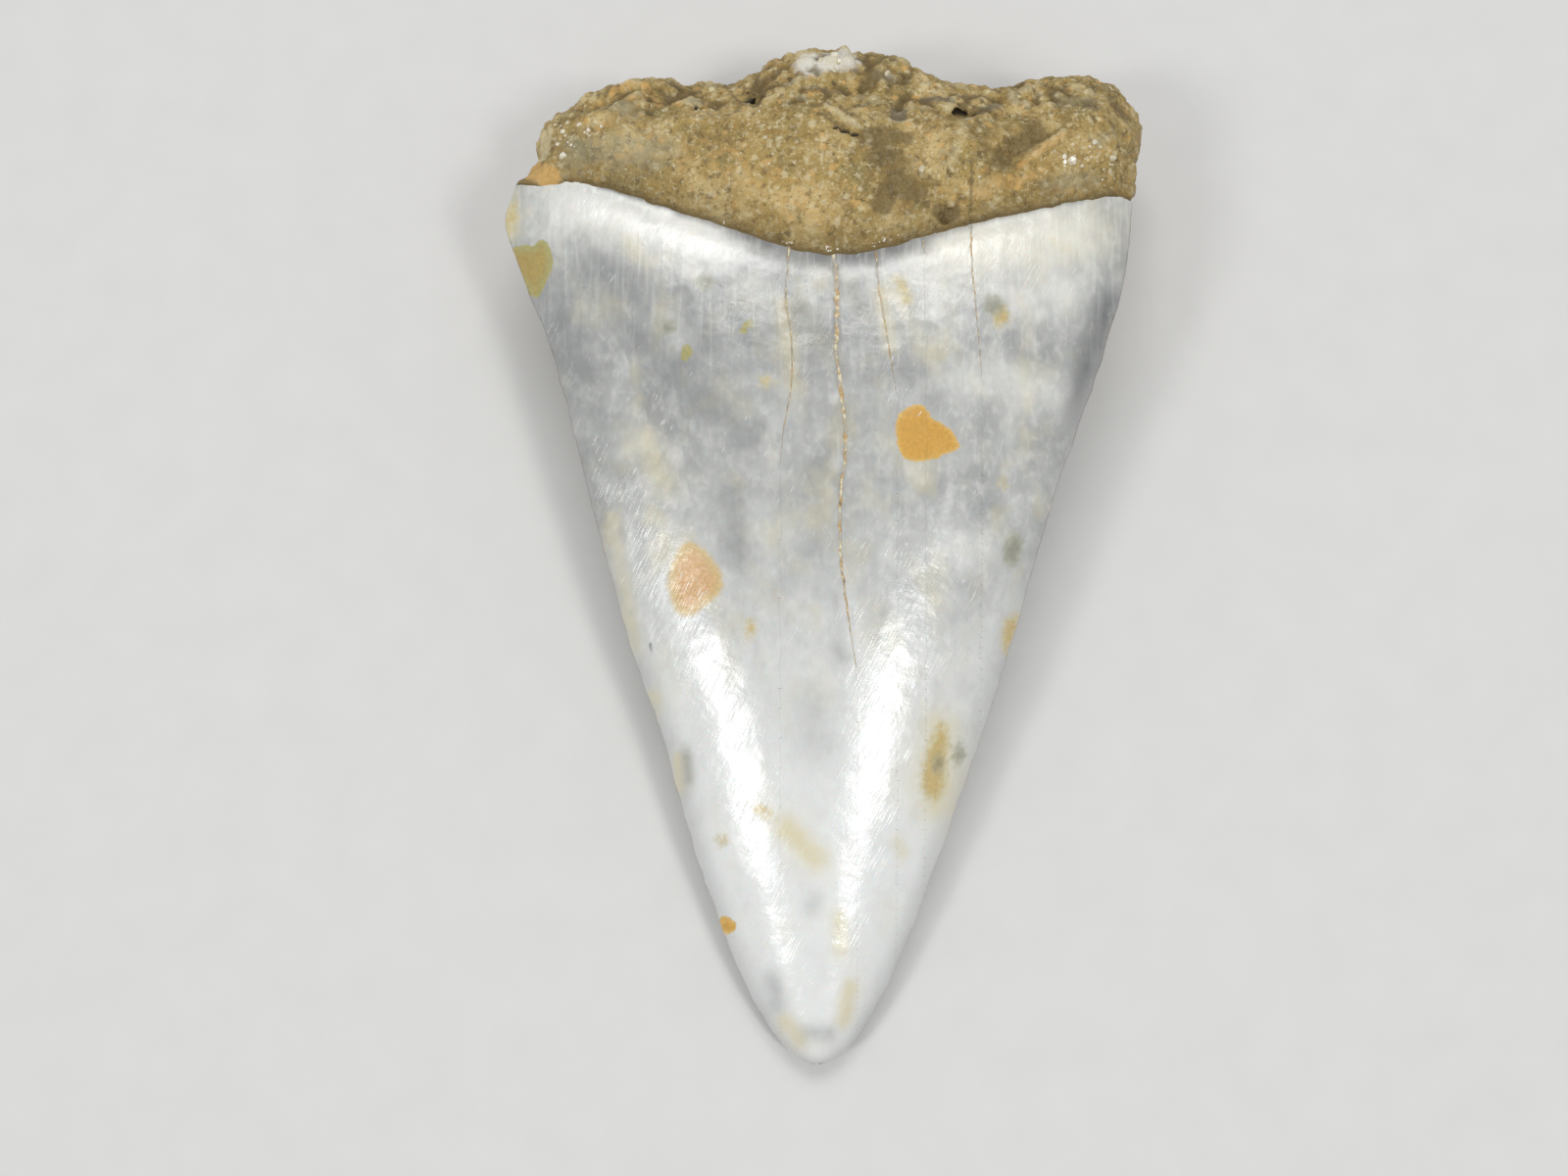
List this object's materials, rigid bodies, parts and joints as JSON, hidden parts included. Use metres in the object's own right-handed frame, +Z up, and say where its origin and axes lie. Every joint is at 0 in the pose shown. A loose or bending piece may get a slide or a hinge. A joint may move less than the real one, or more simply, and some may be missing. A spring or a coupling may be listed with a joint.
{
  "type": "fossil mako shark tooth",
  "caption": "Fossil mako shark tooth lying flat side up: a broad triangular enamelled crown with sharp plain edges on a low, lumpy root.",
  "frame": {"origin": "on the surface the tooth lies on, under the middle of its bounding box", "axes": "+Z up out of the flat outer face, +Y from the tip of the crown to the root, +X to the right with the outer face towards the viewer and the root away"},
  "size_m": [0.037, 0.0584, 0.0123],
  "materials": {
    "enamel": "polished grey-blue fossil enamel on the crown, dull brown granular bone on the root"
  },
  "bodies": {
    "root": {"tooth": "enamel"}
  },
  "joints": []
}
